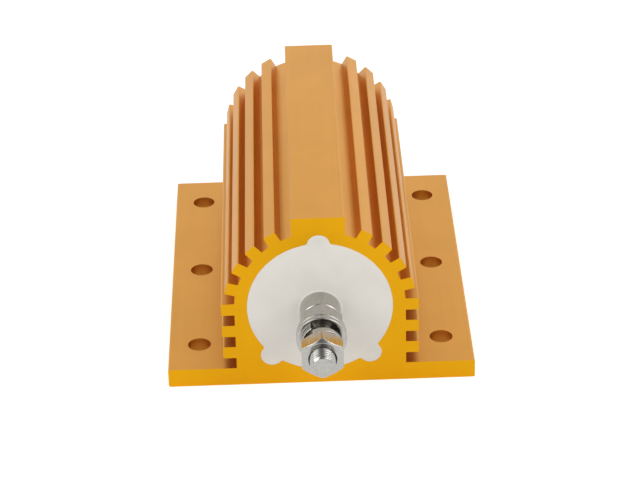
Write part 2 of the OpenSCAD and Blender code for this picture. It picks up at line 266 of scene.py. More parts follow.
def nickel_plate(finishes):
    """Bright nickel plate on turned and rolled steel: mirror-like, with drawing lines along the stud."""
    material, tree, shader, place = new_finish("nickel_plated_steel")
    # Drawing lines 8 mm long, drawn 0.45 mm apart so that they show, and a haze in patches of 2 mm
    line_place = add(tree, "ShaderNodeMapping", {0: place, 3: (1 / 0.45, 1 / 8, 1 / 0.45)}).outputs[0]
    lines = add(tree, "ShaderNodeTexNoise", {"Vector": line_place, "Scale": 1 / MM, "Detail": 2}).outputs["Fac"]
    haze = add(tree, "ShaderNodeTexNoise", {"Vector": place, "Scale": 1 / (2 * MM), "Detail": 2}).outputs["Fac"]
    both = add(tree, "ShaderNodeMath", {0: lines, 1: haze}, operation="MULTIPLY").outputs[0]
    roughness = add(tree, "ShaderNodeMapRange", {0: both, 1: 0.1, 2: 0.4, 3: 0.1, 4: 0.22}).outputs[0]
    tree.links.new(roughness, shader.inputs["Roughness"])
    shade = add(tree, "ShaderNodeMapRange", {0: lines, 1: 0.3, 2: 0.7, 3: 0.84, 4: 1.06}).outputs[0]
    tinted = add(tree, "ShaderNodeHueSaturation", {"Value": shade, "Color": (*finishes.nickel, 1)}).outputs[0]
    tree.links.new(tinted, shader.inputs["Base Color"])
    bump = add(tree, "ShaderNodeBump", {"Strength": 0.15, "Distance": 0.005 * MM, "Height": lines}).outputs[0]
    tree.links.new(bump, shader.inputs["Normal"])
    shader.inputs["Metallic"].default_value = 1
    return material


def steatite(finishes):
    """Pressed and fired steatite: pale, dense and faintly glossy, with a fine grain."""
    material, tree, shader, place = new_finish("steatite_fired")
    grain = add(tree, "ShaderNodeTexNoise", {"Vector": place, "Scale": 1 / (0.4 * MM), "Detail": 3}).outputs["Fac"]
    value = add(tree, "ShaderNodeMapRange", {0: grain, 1: 0.3, 2: 0.7, 3: 0.95, 4: 1.02}).outputs[0]
    tinted = add(tree, "ShaderNodeHueSaturation", {"Value": value, "Color": (*finishes.steatite, 1)}).outputs[0]
    tree.links.new(tinted, shader.inputs["Base Color"])
    bump = add(tree, "ShaderNodeBump", {"Strength": 0.2, "Distance": 0.02 * MM, "Height": grain}).outputs[0]
    tree.links.new(bump, shader.inputs["Normal"])
    shader.inputs["Roughness"].default_value = 0.45
    return material


def oxidised_wire(finishes):
    """Nickel chrome wire with the grey-green oxide that it gets when it is first heated."""
    material, tree, shader, place = new_finish("nickel_chrome_wire")
    patches = add(tree, "ShaderNodeTexNoise", {"Vector": place, "Scale": 1 / (3 * MM), "Detail": 3}).outputs["Fac"]
    value = add(tree, "ShaderNodeMapRange", {0: patches, 1: 0.3, 2: 0.7, 3: 0.8, 4: 1.05}).outputs[0]
    tinted = add(tree, "ShaderNodeHueSaturation", {"Value": value, "Color": (*finishes.wire, 1)}).outputs[0]
    tree.links.new(tinted, shader.inputs["Base Color"])
    roughness = add(tree, "ShaderNodeMapRange", {0: patches, 1: 0.3, 2: 0.7, 3: 0.5, 4: 0.3}).outputs[0]
    tree.links.new(roughness, shader.inputs["Roughness"])
    shader.inputs["Metallic"].default_value = 1
    return material


def drawn_steel(finishes):
    """Plain steel sheet, deep drawn: satin, with streaks along the draw."""
    material, tree, shader, place = new_finish("steel_sheet_drawn")
    streak_place = add(tree, "ShaderNodeMapping", {0: place, 3: (1 / 0.3, 1 / 5, 1 / 0.3)}).outputs[0]
    streaks = add(tree, "ShaderNodeTexNoise", {"Vector": streak_place, "Scale": 1 / MM, "Detail": 2}).outputs["Fac"]
    value = add(tree, "ShaderNodeMapRange", {0: streaks, 1: 0.3, 2: 0.7, 3: 0.92, 4: 1.03}).outputs[0]
    tinted = add(tree, "ShaderNodeHueSaturation", {"Value": value, "Color": (*finishes.steel, 1)}).outputs[0]
    tree.links.new(tinted, shader.inputs["Base Color"])
    roughness = add(tree, "ShaderNodeMapRange", {0: streaks, 1: 0.3, 2: 0.7, 3: 0.28, 4: 0.42}).outputs[0]
    tree.links.new(roughness, shader.inputs["Roughness"])
    shader.inputs["Metallic"].default_value = 1
    return material


FINISHES = {
    "gold_anodised_aluminium": anodised_aluminium,
    "white_cement": cement,
    PLATED: nickel_plate,
    "steatite": steatite,
    "resistance_wire": oxidised_wire,
    "plain_steel": drawn_steel,
}
made = {}


def finish_of(slot):
    """The material of a slot, made once."""
    if slot not in made:
        made[slot] = FINISHES[slot](bpy.context.scene.resistor_finishes)
    return made[slot]


def dress(node, slot):
    """Gives a CAD node the material of its slot."""
    slots = NODES[node].material_slots
    if not slots:
        raise RuntimeError(f"{node} has no material slot")
    for s in slots:
        s.material = finish_of(slot)


# ---- Mesh tools ----


def node_group(name, inputs, outputs):
    """A new node group with named inputs and outputs, and its inputs' sockets."""
    tree = bpy.data.node_groups.new(name, "GeometryNodeTree")
    for socket, kind in inputs.items():
        tree.interface.new_socket(socket, in_out="INPUT", socket_type="NodeSocket" + kind)
    for socket, kind in outputs.items():
        tree.interface.new_socket(socket, in_out="OUTPUT", socket_type="NodeSocket" + kind)
    return tree, tree.nodes.new("NodeGroupInput").outputs


def output_solid(tree, geometry, material):
    """Ends a tree with a real mesh that has its material."""
    real = add(tree, "GeometryNodeRealizeInstances", {0: geometry}).outputs[0]
    finished = add(tree, "GeometryNodeSetMaterial", {0: real, "Material": material}).outputs[0]
    add(tree, "NodeGroupOutput", {0: finished})
    return tree


def placed(name, mesh, matrix, slot, replaced, sharp=40):
    """Puts a finished mesh into the frame as a piece that stands for a CAD node."""
    mesh.name = name
    mesh.transform(matrix)
    shell = bmesh.new()
    shell.from_mesh(mesh)
    bmesh.ops.recalc_face_normals(shell, faces=shell.faces)
    shell.to_mesh(mesh)
    shell.free()
    mesh.shade_smooth()
    mesh.set_sharp_from_angle(angle=math.radians(sharp))
    mesh.materials.clear()
    mesh.materials.append(finish_of(slot))
    piece = bpy.data.objects.new(name, mesh)
    bpy.context.scene.collection.objects.link(piece)
    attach(piece, "root")
    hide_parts(replaced)
    return piece


def shaped(tree, start, values, material):
    """The plain mesh that a Geometry Nodes tree makes of a start mesh, with its inputs set by name."""
    seed = bpy.data.objects.new("seed", start)
    bpy.context.scene.collection.objects.link(seed)
    modifier = seed.modifiers.new("Shape", "NODES")
    modifier.node_group = tree
    sockets = {item.name: item.identifier for item in tree.interface.items_tree if item.in_out == "INPUT"}
    for name, value in values.items():
        modifier[sockets[name]] = value
    modifier[sockets["Material"]] = material
    evaluated = seed.evaluated_get(bpy.context.evaluated_depsgraph_get())
    mesh = bpy.data.meshes.new_from_object(evaluated)
    seed.modifiers.remove(modifier)
    bpy.data.objects.remove(seed)
    if not mesh.polygons:
        raise RuntimeError(f"{tree.name} made no faces")
    return mesh


def outline(points):
    """A start mesh of loose points, each at a radius (X) and a height (Z)."""
    mesh = bpy.data.meshes.new("outline")
    mesh.from_pydata([(radius, 0, height) for radius, height in points], [], [])
    return mesh


def section(points):
    """A start mesh of one closed outline, flat in X and Y, to be swept along a path."""
    mesh = bpy.data.meshes.new("section")
    count = len(points)
    mesh.from_pydata([(x, y, 0) for x, y in points], [(i, (i + 1) % count) for i in range(count)], [])
    return mesh


def rounded(corners, roundings, steps=5):
    """An outline with its corners rounded: one rounding for each corner, 0 where it stays sharp.

    A point close to each end of a rounding keeps the flats flat under smooth shading.
    """
    points = []
    count = len(corners)
    for i, (corner, size) in enumerate(zip(corners, roundings)):
        if not size:
            points.append(corner)
            continue
        here = Vector(corner)
        before = (Vector(corners[i - 1]) - here).normalized()
        after = (Vector(corners[(i + 1) % count]) - here).normalized()
        half = before.angle(after) / 2
        reach = size / math.tan(half)
        centre = here + (before + after).normalized() * size / math.sin(half)
        first = (here + before * reach - centre).normalized()
        last = (here + after * reach - centre).normalized()
        points.append(tuple(here + before * (reach + 0.02 * MM)))
        for step in range(steps + 1):
            points.append(tuple(centre + first.slerp(last, step / steps) * size))
        points.append(tuple(here + after * (reach + 0.02 * MM)))
    return points


# ---- Node groups that the turned pieces share ----


def thread_group():
    """Radius of an ISO thread at a height and an angle: a flat crest, 60 degree flanks, a flat root."""
    tree, given = node_group(
        "Thread radius",
        {"Height": "Float", "Angle": "Float", "Crest radius": "Float", "Depth": "Float", "Pitch": "Float"},
        {"Radius": "Float"},
    )
    turns = add(tree, "ShaderNodeMath", {0: given["Height"], 1: given["Pitch"]}, operation="DIVIDE").outputs[0]
    turned = add(tree, "ShaderNodeMath", {0: given["Angle"], 1: math.tau}, operation="DIVIDE").outputs[0]
    phase = add(tree, "ShaderNodeMath", {0: turns, 1: turned}, operation="SUBTRACT").outputs[0]
    wave = add(tree, "ShaderNodeMath", {0: phase, 1: 0.5}, operation="PINGPONG").outputs[0]
    root = add(
        tree, "ShaderNodeMath", {0: given["Crest radius"], 1: given["Depth"]}, operation="SUBTRACT"
    ).outputs[0]
    # The crest is an eighth of the pitch wide, and the root a quarter
    radius = add(
        tree, "ShaderNodeMapRange", {0: wave, 1: 1 / 16, 2: 3 / 8, 3: given["Crest radius"], 4: root}
    ).outputs[0]
    add(tree, "NodeGroupOutput", {0: radius})
    return tree


def turning_group():
    """A grid with a row for each point of an outline, and each row's radius, height and angle."""
    tree, given = node_group(
        "Turning",
        {"Outline": "Geometry", "Columns": "Int"},
        {"Grid": "Geometry", "Radius": "Float", "Height": "Float", "Angle": "Float"},
    )
    rows = add(tree, "GeometryNodeAttributeDomainSize", {0: given["Outline"]}, component="MESH").outputs[0]
    across = add(tree, "ShaderNodeMath", {0: given["Columns"], 1: 1}, operation="ADD").outputs[0]
    grid = add(
        tree, "GeometryNodeMeshGrid", {"Size X": 1, "Size Y": 1, "Vertices X": across, "Vertices Y": rows}
    ).outputs[0]
    place = add(tree, "ShaderNodeSeparateXYZ", {0: add(tree, "GeometryNodeInputPosition").outputs[0]}).outputs
    last = add(tree, "ShaderNodeMath", {0: rows, 1: 1}, operation="SUBTRACT").outputs[0]
    row = add(tree, "ShaderNodeMath", {0: place["Y"], 1: 0.5}, operation="ADD").outputs[0]
    row = add(tree, "ShaderNodeMath", {0: row, 1: last}, operation="MULTIPLY").outputs[0]
    row = add(tree, "ShaderNodeMath", {0: row}, operation="ROUND").outputs[0]
    angle = add(
        tree, "ShaderNodeMath", {0: place["X"], 1: math.tau, 2: math.pi}, operation="MULTIPLY_ADD"
    ).outputs[0]
    point = add(
        tree,
        "GeometryNodeSampleIndex",
        {"Geometry": given["Outline"], "Index": row},
        data_type="FLOAT_VECTOR",
        domain="POINT",
    )
    tree.links.new(add(tree, "GeometryNodeInputPosition").outputs[0], point.inputs["Value"])
    found = add(tree, "ShaderNodeSeparateXYZ", {0: point.outputs[0]}).outputs
    add(tree, "NodeGroupOutput", {0: grid, 1: found["X"], 2: found["Z"], 3: angle})
    return tree


def closing_group():
    """Lays a grid out by radius, height and angle, and joins its seam and its poles."""
    tree, given = node_group(
        "Closing",
        {"Grid": "Geometry", "Radius": "Float", "Height": "Float", "Angle": "Float", "Material": "Material"},
        {"Solid": "Geometry"},
    )
    cosine = add(tree, "ShaderNodeMath", {0: given["Angle"]}, operation="COSINE").outputs[0]
    sine = add(tree, "ShaderNodeMath", {0: given["Angle"]}, operation="SINE").outputs[0]
    x = add(tree, "ShaderNodeMath", {0: given["Radius"], 1: cosine}, operation="MULTIPLY").outputs[0]
    y = add(tree, "ShaderNodeMath", {0: given["Radius"], 1: sine}, operation="MULTIPLY").outputs[0]
    place = add(tree, "ShaderNodeCombineXYZ", {0: x, 1: y, 2: given["Height"]}).outputs[0]
    laid = add(tree, "GeometryNodeSetPosition", {"Geometry": given["Grid"], "Position": place}).outputs[0]
    joined = add(tree, "GeometryNodeMergeByDistance", {"Geometry": laid, "Distance": WELD}).outputs[0]
    return output_solid(tree, joined, given["Material"])


GROUPS = {"thread": thread_group, "turning": turning_group, "closing": closing_group}
groups = {}


def use(tree, group, inputs):
    """Adds a shared node group, which is made once, and gives its outputs."""
    if group not in groups:
        groups[group] = GROUPS[group]()
    return add(tree, "GeometryNodeGroup", inputs, node_tree=groups[group]).outputs


# ---- Terminals: each is drawn along +Z outwards from the end face, with +Y up ----


def stud_tree():
    """A turned stud: its outline, with a thread cut where it has its thread's radius."""
    tree, given = node_group(
        "Stud",
        {
            "Outline": "Geometry", "Columns": "Int", "Thread start": "Float", "Thread end": "Float",
            "Thread radius": "Float", "Depth": "Float", "Pitch": "Float", "Chamfer": "Float",
            "Material": "Material",
        },
        {"Solid": "Geometry"},
    )
    turning = use(tree, "turning", {"Outline": given["Outline"], "Columns": given["Columns"]})
    thread = use(
        tree,
        "thread",
        {
            "Height": turning["Height"], "Angle": turning["Angle"], "Crest radius": given["Thread radius"],
            "Depth": given["Depth"], "Pitch": given["Pitch"],
        },
    )[0]
    # The end is turned to a 45 degree chamfer, through the last turns of the thread
    left = add(tree, "ShaderNodeMath", {0: given["Thread end"], 1: turning["Height"]}, operation="SUBTRACT").outputs[0]
    inside = add(
        tree, "ShaderNodeMath", {0: given["Thread radius"], 1: given["Chamfer"]}, operation="SUBTRACT"
    ).outputs[0]
    turned_off = add(tree, "ShaderNodeMath", {0: inside, 1: left}, operation="ADD").outputs[0]
    cut = add(tree, "ShaderNodeMath", {0: thread, 1: turned_off}, operation="MINIMUM").outputs[0]
    cut = add(tree, "ShaderNodeMath", {0: cut, 1: turning["Radius"]}, operation="MINIMUM").outputs[0]
    threaded = add(
        tree, "ShaderNodeMath", {0: turning["Height"], 1: given["Thread start"]}, operation="GREATER_THAN"
    ).outputs[0]
    radius = add(
        tree, "ShaderNodeMix", {0: threaded, 2: turning["Radius"], 3: cut}, data_type="FLOAT"
    ).outputs[0]
    solid = use(
        tree,
        "closing",
        {
            "Grid": turning["Grid"], "Radius": radius, "Height": turning["Height"],
            "Angle": turning["Angle"], "Material": given["Material"],
        },
    )[0]
    add(tree, "NodeGroupOutput", {0: solid})
    return tree


def nut_tree():
    """A hexagon nut: a turned outline whose outer rows are drawn in to six flats, and a thread."""
    tree, given = node_group(
        "Nut",
        {
            "Outline": "Geometry", "Columns": "Int", "Turn": "Float", "Flat radius": "Float",
            "Corner radius": "Float", "Corner rounding": "Float", "Middle": "Float",
            "Height": "Float", "Thread radius": "Float", "Depth": "Float",
            "Pitch": "Float", "Mouth": "Float", "Material": "Material",
        },
        {"Solid": "Geometry"},
    )
    turning = use(tree, "turning", {"Outline": given["Outline"], "Columns": given["Columns"]})
    # Distance of the six flats from the axis at each angle from a corner, with the corners rolled off
    swing = add(tree, "ShaderNodeMath", {0: turning["Angle"], 1: math.pi / 6}, operation="PINGPONG").outputs[0]
    swing = add(tree, "ShaderNodeMath", {0: math.pi / 6, 1: swing}, operation="SUBTRACT").outputs[0]
    cosine = add(tree, "ShaderNodeMath", {0: swing}, operation="COSINE").outputs[0]
    flats = add(tree, "ShaderNodeMath", {0: given["Flat radius"], 1: cosine}, operation="DIVIDE").outputs[0]
    rolled = add(
        tree, "ShaderNodeMath", {0: given["Corner radius"], 1: given["Corner rounding"]}, operation="SUBTRACT"
    ).outputs[0]
    flats = add(tree, "ShaderNodeMath", {0: flats, 1: rolled}, operation="MINIMUM").outputs[0]
    # The outline is drawn at a corner. Its outer rows move in to the flats, up or down the cone.
    between = add(tree, "ShaderNodeMath", {0: given["Corner radius"], 1: given["Flat radius"]}, operation="ADD").outputs[0]
    between = add(tree, "ShaderNodeMath", {0: between, 1: 0.5}, operation="MULTIPLY").outputs[0]
    outer = add(tree, "ShaderNodeMath", {0: turning["Radius"], 1: between}, operation="GREATER_THAN").outputs[0]
    pull = add(tree, "ShaderNodeMath", {0: given["Corner radius"], 1: flats}, operation="SUBTRACT").outputs[0]
    pull = add(tree, "ShaderNodeMath", {0: pull, 1: outer}, operation="MULTIPLY").outputs[0]
    drawn_in = add(tree, "ShaderNodeMath", {0: turning["Radius"], 1: pull}, operation="SUBTRACT").outputs[0]
    off = add(tree, "ShaderNodeMath", {0: turning["Height"], 1: given["Middle"]}, operation="SUBTRACT").outputs[0]
    half = add(tree, "ShaderNodeMath", {0: given["Height"], 1: 0.5}, operation="MULTIPLY").outputs[0]
    side = add(tree, "ShaderNodeMath", {0: off}, operation="SIGN").outputs[0]
    climb = add(tree, "ShaderNodeMath", {0: pull, 1: math.tan(math.pi / 6)}, operation="MULTIPLY").outputs[0]
    climb = add(tree, "ShaderNodeMath", {0: climb, 1: side}, operation="MULTIPLY").outputs[0]
    height = add(tree, "ShaderNodeMath", {0: turning["Height"], 1: climb}, operation="ADD").outputs[0]
    # The bore's rows take the thread, opened to a chamfer at both faces
    angle = add(tree, "ShaderNodeMath", {0: turning["Angle"], 1: given["Turn"]}, operation="ADD").outputs[0]
    thread = use(
        tree,
        "thread",
        {
            "Height": turning["Height"], "Angle": angle, "Crest radius": given["Thread radius"],
            "Depth": given["Depth"], "Pitch": given["Pitch"],
        },
    )[0]
    off = add(tree, "ShaderNodeMath", {0: off}, operation="ABSOLUTE").outputs[0]
    depth = add(tree, "ShaderNodeMath", {0: half, 1: off}, operation="SUBTRACT").outputs[0]
    mouth = add(tree, "ShaderNodeMath", {0: given["Thread radius"], 1: given["Mouth"]}, operation="ADD").outputs[0]
    mouth = add(tree, "ShaderNodeMath", {0: mouth, 1: depth}, operation="SUBTRACT").outputs[0]
    bore = add(tree, "ShaderNodeMath", {0: thread, 1: mouth}, operation="MAXIMUM").outputs[0]
    in_bore = add(tree, "ShaderNodeMath", {0: given["Thread radius"], 1: 0.01 * MM}, operation="ADD").outputs[0]
    in_bore = add(tree, "ShaderNodeMath", {0: turning["Radius"], 1: in_bore}, operation="LESS_THAN").outputs[0]
    radius = add(tree, "ShaderNodeMix", {0: in_bore, 2: drawn_in, 3: bore}, data_type="FLOAT").outputs[0]
    solid = use(
        tree,
        "closing",
        {
            "Grid": turning["Grid"], "Radius": radius, "Height": height, "Angle": angle,
            "Material": given["Material"],
        },
    )[0]
    add(tree, "NodeGroupOutput", {0: solid})
    return tree


def washer_tree():
    """A turned ring: its closed outline swept round the stud."""
    tree, given = node_group(
        "Washer", {"Outline": "Geometry", "Columns": "Int", "Material": "Material"}, {"Solid": "Geometry"}
    )
    turning = use(tree, "turning", {"Outline": given["Outline"], "Columns": given["Columns"]})
    solid = use(
        tree,
        "closing",
        {
            "Grid": turning["Grid"], "Radius": turning["Radius"], "Height": turning["Height"],
            "Angle": turning["Angle"], "Material": given["Material"],
        },
    )[0]
    add(tree, "NodeGroupOutput", {0: solid})
    return tree


def spring_tree():
    """A split spring washer: a square section with rounded edges, swept along one open, rising turn."""
    tree, given = node_group(
        "Spring washer",
        {
            "Section": "Geometry", "Middle radius": "Float", "Start": "Float", "Sweep": "Float",
            "Low": "Float", "Rise": "Float", "Material": "Material",
        },
        {"Solid": "Geometry"},
    )
    stations = 96
    line = add(tree, "GeometryNodeMeshLine", {"Count": stations + 1}, mode="OFFSET").outputs[0]
    index = add(tree, "GeometryNodeInputIndex").outputs[0]
    along = add(tree, "ShaderNodeMath", {0: index, 1: stations}, operation="DIVIDE").outputs[0]
    angle = add(
        tree, "ShaderNodeMath", {0: given["Sweep"], 1: along, 2: given["Start"]}, operation="MULTIPLY_ADD"
    ).outputs[0]
    sine = add(tree, "ShaderNodeMath", {0: angle}, operation="SINE").outputs[0]
    cosine = add(tree, "ShaderNodeMath", {0: angle}, operation="COSINE").outputs[0]
    x = add(tree, "ShaderNodeMath", {0: given["Middle radius"], 1: sine}, operation="MULTIPLY").outputs[0]
    y = add(tree, "ShaderNodeMath", {0: given["Middle radius"], 1: cosine}, operation="MULTIPLY").outputs[0]
    left = add(tree, "ShaderNodeMath", {0: 1, 1: along}, operation="SUBTRACT").outputs[0]
    z = add(tree, "ShaderNodeMath", {0: given["Rise"], 1: left, 2: given["Low"]}, operation="MULTIPLY_ADD").outputs[0]
    place = add(tree, "ShaderNodeCombineXYZ", {0: x, 1: y, 2: z}).outputs[0]
    laid = add(tree, "GeometryNodeSetPosition", {"Geometry": line, "Position": place}).outputs[0]
    turn = add(tree, "GeometryNodeMeshToCurve", {0: laid}).outputs[0]
    turn = add(tree, "GeometryNodeSetCurveNormal", {0: turn}, mode="Z_UP").outputs[0]
    profile = add(tree, "GeometryNodeMeshToCurve", {0: given["Section"]}).outputs[0]
    swept = add(
        tree, "GeometryNodeCurveToMesh", {"Curve": turn, "Profile Curve": profile, "Fill Caps": True}
    ).outputs[0]
    joined = add(tree, "GeometryNodeMergeByDistance", {"Geometry": swept, "Distance": WELD}).outputs[0]
    return output_solid(tree, joined, given["Material"])


def winding_tree():
    """The wire: one round section wound along the core, which climbs on to a cap at both ends."""
    tree, given = node_group(
        "Winding",
        {
            "Stations": "Int", "Turns": "Float", "Half length": "Float", "Core lay": "Float",
            "Cap lay": "Float", "Climb start": "Float", "Climb end": "Float", "Wire radius": "Float",
            "Material": "Material",
        },
        {"Solid": "Geometry"},
    )
    count = add(tree, "ShaderNodeMath", {0: given["Stations"], 1: 1}, operation="ADD").outputs[0]
    line = add(tree, "GeometryNodeMeshLine", {"Count": count}, mode="OFFSET").outputs[0]
    index = add(tree, "GeometryNodeInputIndex").outputs[0]
    along = add(tree, "ShaderNodeMath", {0: index, 1: given["Stations"]}, operation="DIVIDE").outputs[0]
    angle = add(tree, "ShaderNodeMath", {0: along, 1: given["Turns"]}, operation="MULTIPLY").outputs[0]
    angle = add(tree, "ShaderNodeMath", {0: angle, 1: math.tau}, operation="MULTIPLY").outputs[0]
    whole = add(tree, "ShaderNodeMath", {0: given["Half length"], 1: 2}, operation="MULTIPLY").outputs[0]
    start = add(tree, "ShaderNodeMath", {0: given["Half length"], 1: -1}, operation="MULTIPLY").outputs[0]
    height = add(tree, "ShaderNodeMath", {0: along, 1: whole, 2: start}, operation="MULTIPLY_ADD").outputs[0]
    away = add(tree, "ShaderNodeMath", {0: height}, operation="ABSOLUTE").outputs[0]
    lay = add(
        tree,
        "ShaderNodeMapRange",
        {0: away, 1: given["Climb start"], 2: given["Climb end"], 3: given["Core lay"], 4: given["Cap lay"]},
    ).outputs[0]
    cosine = add(tree, "ShaderNodeMath", {0: angle}, operation="COSINE").outputs[0]
    sine = add(tree, "ShaderNodeMath", {0: angle}, operation="SINE").outputs[0]
    x = add(tree, "ShaderNodeMath", {0: lay, 1: cosine}, operation="MULTIPLY").outputs[0]
    y = add(tree, "ShaderNodeMath", {0: lay, 1: sine}, operation="MULTIPLY").outputs[0]
    place = add(tree, "ShaderNodeCombineXYZ", {0: x, 1: y, 2: height}).outputs[0]
    laid = add(tree, "GeometryNodeSetPosition", {"Geometry": line, "Position": place}).outputs[0]
    path = add(tree, "GeometryNodeMeshToCurve", {0: laid}).outputs[0]
    profile = add(
        tree, "GeometryNodeCurvePrimitiveCircle", {"Resolution": 12, "Radius": given["Wire radius"]}
    ).outputs[0]
    swept = add(
        tree, "GeometryNodeCurveToMesh", {"Curve": path, "Profile Curve": profile, "Fill Caps": True}
    ).outputs[0]
    return output_solid(tree, swept, given["Material"])


def terminal_place(end):
    """Where a piece drawn outwards from the end face stands, at the front or at the rear."""
    front = Matrix.Translation((0, -END_FACE, AXIS_HEIGHT)) @ Matrix.Rotation(math.pi / 2, 4, "X")
    return front if end == "front" else Matrix.Rotation(math.pi, 4, "Z") @ front


def span(node):
    """An end piece's inner and outer face, as distances out from the housing's end face."""
    low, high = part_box(node)
    inner, outer = sorted((abs(low.y), abs(high.y)))
    return inner - END_FACE, outer - END_FACE


def radius_of(node):
    """The radius of a round piece on the bore's axis."""
    low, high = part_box(node)
    return (high.x - low.x) / 2


def make_studs():
    """Both studs, with the thread that the CAD model leaves plain."""
    sizes = bpy.context.scene.resistor_sizes
    thread, tenon = sizes.thread_diameter / 2, sizes.tenon_diameter / 2
    tree = stud_tree()
    for end in ENDS:
        node = f"{end}_terminal_stud"
        foot, tip = span(node)
        # Rounding in single precision stays inside the CAD box
        tip -= 0.001 * MM
        shoulder, shoulder_end = radius_of(node), span(f"{end}_seat_nut")[0]
        root = span(f"{end}_end_cap")[1]
        points = rounded(
            [(0, foot), (tenon, foot), (tenon, root), (thread, root), (thread, 0), (shoulder, 0),
             (shoulder, shoulder_end), (thread, shoulder_end)],
            [0, 0, 0, 0, 0, 0, sizes.shoulder_rounding, 0],
        )
        rows = math.ceil((tip - shoulder_end) / sizes.thread_pitch * ROWS_PER_TURN)
        points += [(thread, shoulder_end + (tip - shoulder_end) * i / rows) for i in range(1, rows + 1)]
        points.append((0, tip))
        mesh = shaped(
            tree,
            outline(points),
            {
                "Columns": 96, "Thread start": shoulder_end + 0.01 * MM, "Thread end": tip,
                "Thread radius": thread, "Depth": sizes.thread_depth, "Pitch": sizes.thread_pitch,
                "Chamfer": sizes.stud_chamfer,
            },
            finish_of(PLATED),
        )
        placed(f"{end}_stud_threaded", mesh, terminal_place(end), PLATED, node, sharp=50)


def make_nuts():
    """The seat nuts and the terminal nuts: turned faces, chamfered corners and a thread inside."""
    sizes = bpy.context.scene.resistor_sizes
    tree = nut_tree()
    thread = sizes.thread_diameter / 2
    for end in ENDS:
        for nut, turn in (("seat", math.pi / 6 - sizes.seat_nut_turn), ("terminal", math.pi / 6)):
            node = f"{end}_{nut}_nut"
            inner, outer = span(node)
            # The terminal nut stands with a corner up, so half its height is its corner radius
            low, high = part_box(f"{end}_terminal_nut")
            corner = (high.z - low.z) / 2
            flat = corner * math.cos(math.pi / 6)
            face = flat - sizes.nut_face
            drop = (corner - face) * math.tan(math.pi / 6)
            outer_side = rounded(
                [(thread + sizes.nut_mouth, outer), (face, outer), (corner, outer - drop),
                 (corner, inner + drop), (face, inner), (thread + sizes.nut_mouth, inner)],
                [0] + [sizes.nut_rounding] * 4 + [0],
            )
            rows = math.ceil((outer - inner) / sizes.thread_pitch * ROWS_PER_TURN)
            bore = [(thread, inner + (outer - inner) * i / rows) for i in range(rows + 1)]
            mesh = shaped(
                tree,
                outline(bore + outer_side[1:-1] + bore[:1]),
                {
                    "Columns": 192, "Turn": turn, "Flat radius": flat, "Corner radius": corner,
                    "Corner rounding": sizes.nut_corner, "Middle": (inner + outer) / 2,
                    "Height": outer - inner, "Thread radius": thread + sizes.thread_gap,
                    "Depth": sizes.thread_depth, "Pitch": sizes.thread_pitch, "Mouth": sizes.nut_mouth,
                },
                finish_of(PLATED),
            )
            placed(f"{end}_{nut}_nut_turned", mesh, terminal_place(end), PLATED, node, sharp=38)


def make_flat_washers():
    """The four flat washers, with rounded rims."""
    sizes = bpy.context.scene.resistor_sizes
    tree = washer_tree()
    hole = sizes.washer_hole / 2
    for end in ENDS:
        for washer in ("inner", "outer"):
            node = f"{end}_{washer}_washer"
            inner, outer = span(node)
            rim = radius_of(node)
            edge = sizes.washer_rounding
            points = rounded(
                [(hole, inner), (rim, inner), (rim, outer), (hole, outer)], [edge / 2, edge, edge, edge / 2]
            )
            mesh = shaped(tree, outline(points + points[:1]), {"Columns": 128}, finish_of(PLATED))
            placed(f"{end}_{washer}_washer_turned", mesh, terminal_place(end), PLATED, node)


def make_spring_washers():
    """The two split spring washers as they stand before they are drawn flat."""
    sizes = bpy.context.scene.resistor_sizes
    tree = spring_tree()
    for end in ENDS:
        node = f"{end}_spring_washer"
        inner, outer = span(node)
        rim = radius_of(node)
        half_gap = math.asin(sizes.spring_split / (2 * rim))
        half = sizes.spring_section / 2
        square = rounded([(-half, -half), (half, -half), (half, half), (-half, half)], [sizes.spring_rounding] * 4)
        mesh = shaped(
            tree,
            section(square),
            {
                "Middle radius": rim - half,
                "Start": half_gap - sizes.spring_angle, "Sweep": math.tau - 2 * half_gap,
                "Low": inner + half, "Rise": outer - inner - 2 * half,
            },
            finish_of(PLATED),
        )
        placed(f"{end}_spring_washer_coiled", mesh, terminal_place(end), PLATED, node)


def make_winding():
    """The resistance wire, wound on the core from cap to cap."""
    sizes = bpy.context.scene.resistor_sizes
    wire = sizes.wire_diameter / 2
    play = 0.05 * MM
    low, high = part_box("resistance_winding")
    half_length = (high.y - low.y) / 2 - wire
    skirt_edge = -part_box("front_end_cap")[1].y
    turns = 2 * half_length / sizes.wire_pitch
    stations = 36
    growth = 1 / math.cos(math.pi / stations)
    mesh = shaped(
        winding_tree(),
        bpy.data.meshes.new("outline"),
        {
            "Stations": round(turns * stations), "Turns": turns, "Half length": half_length,
            "Core lay": (radius_of("ceramic_core") + wire + play) * growth,
            "Cap lay": (radius_of("front_end_cap") + wire + play) * growth,
            "Climb start": skirt_edge - 3 * sizes.wire_diameter, "Climb end": skirt_edge - sizes.wire_diameter,
            "Wire radius": wire,
        },
        finish_of("resistance_wire"),
    )
    middle = Matrix.Translation((0, 0, AXIS_HEIGHT)) @ Matrix.Rotation(math.pi / 2, 4, "X")
    placed("resistance_wire_wound", mesh, middle, "resistance_wire", "resistance_winding", sharp=60)


# ---- Filling ----


